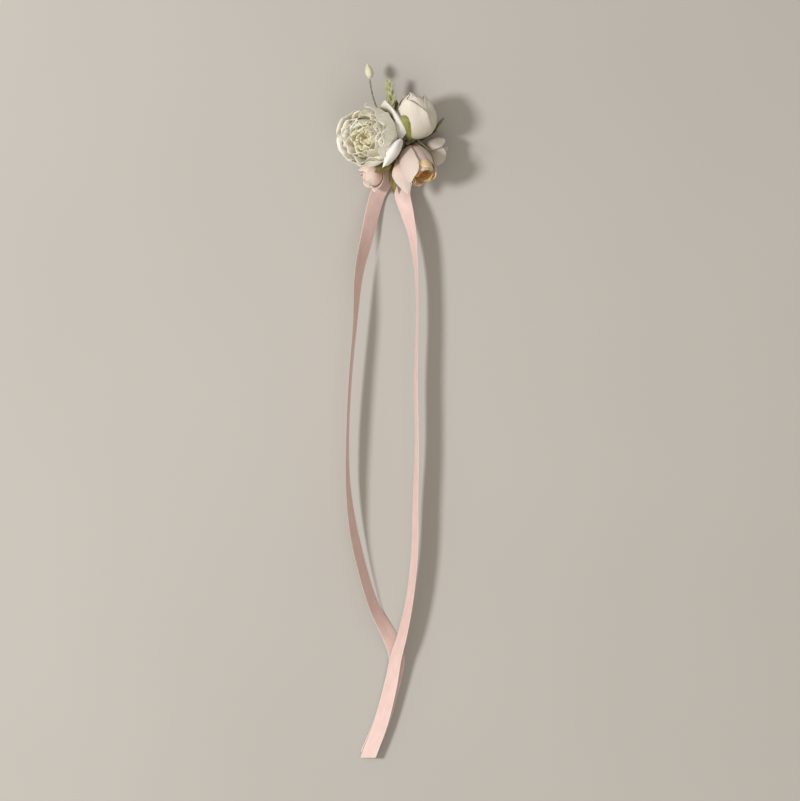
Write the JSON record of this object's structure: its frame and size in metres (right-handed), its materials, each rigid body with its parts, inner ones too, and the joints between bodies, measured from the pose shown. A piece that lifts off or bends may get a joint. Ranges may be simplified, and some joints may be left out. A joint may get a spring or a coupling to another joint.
{
  "type": "floral hair pin",
  "caption": "Spring hair clip carrying a cluster of fabric roses, buds and leaves on a felt pad, with long satin ribbon tails laid out flat",
  "frame": {"origin": "centre of the flat underside of the clip's lower jaw, the face that lies on the surface", "axes": "+Z away from the surface and out of the flowers; -Y from the flowers to the ribbon ends; +X to the right when the flowers are above the ribbons"},
  "size_m": [0.0593, 0.4332, 0.0398],
  "materials": {
    "clip_steel": "nickel plated sheet steel",
    "felt": "thick cream felt",
    "glue": "clear to milky hot glue",
    "white_petal": "cream white woven petal fabric, slightly translucent",
    "bud_petal": "off-white petal fabric with a pink blush",
    "blush_petal": "blush pink petal fabric",
    "pale_petal": "pale grey-blush petal fabric",
    "cream_heart": "yellowish cream petal fabric",
    "ochre_heart": "ochre brown petal fabric",
    "sepal_fabric": "olive green starched fabric",
    "leaf_fabric": "olive green starched fabric with veins",
    "sprig_green": "soft green moulded leaflets",
    "stem_tape": "wire wrapped in olive floral tape",
    "filler_bud": "pale green moulded bud",
    "satin_ribbon": "blush double-face satin"
  },
  "bodies": {
    "flower_head": {"back_leaf": "leaf_fabric", "blush_rose_calyx": "sepal_fabric", "blush_rose_guard_petal": "blush_petal", "blush_rose_heart": "ochre_heart", "blush_rose_inner_petals": "blush_petal", "blush_rose_long_petal": "blush_petal", "blush_rose_middle_petals": "blush_petal", "blush_rose_outer_petals": "blush_petal", "blush_rose_stem": "stem_tape", "centre_leaf": "leaf_fabric", "felt_pad": "felt", "filler_bud": "filler_bud", "filler_stem": "stem_tape", "glue_bed": "glue", "green_sprig": "sprig_green", "hinge_pin": "clip_steel", "left_leaf": "leaf_fabric", "left_ribbon": "satin_ribbon", "pale_flower_calyx": "sepal_fabric", "pale_flower_heart": "cream_heart", "pale_flower_inner_petals": "pale_petal", "pale_flower_outer_petals": "pale_petal", "pale_flower_stem": "stem_tape", "right_leaf": "leaf_fabric", "right_ribbon": "satin_ribbon", "small_flower_calyx": "sepal_fabric", "small_flower_heart": "cream_heart", "small_flower_inner_petals": "blush_petal", "small_flower_outer_petals": "blush_petal", "small_flower_stem": "stem_tape", "tail_leaf": "leaf_fabric", "torsion_spring": "clip_steel", "upper_jaw": "clip_steel", "white_bud_calyx": "sepal_fabric", "white_bud_heart": "bud_petal", "white_bud_inner_petals": "bud_petal", "white_bud_outer_petals": "bud_petal", "white_bud_stem": "stem_tape", "white_rose_calyx": "sepal_fabric", "white_rose_curled_petal": "white_petal", "white_rose_guard_petals": "white_petal", "white_rose_heart": "cream_heart", "white_rose_inner_petals": "white_petal", "white_rose_middle_petals": "white_petal", "white_rose_outer_petals": "white_petal", "white_rose_stem": "stem_tape"},
    "lower_jaw": {"lower_jaw": "clip_steel"}
  },
  "joints": [
    {"name": "jaw_hinge", "type": "hinge", "parent": "flower_head", "child": "lower_jaw", "pos_m": [0, 0.006, 0.0034], "axis": [1, 0, 0], "range_deg": [0, 25], "stiffness_Nm_per_rad": 0.05, "springref_deg": -45.84, "deforming": ["torsion_spring"]}
  ]
}
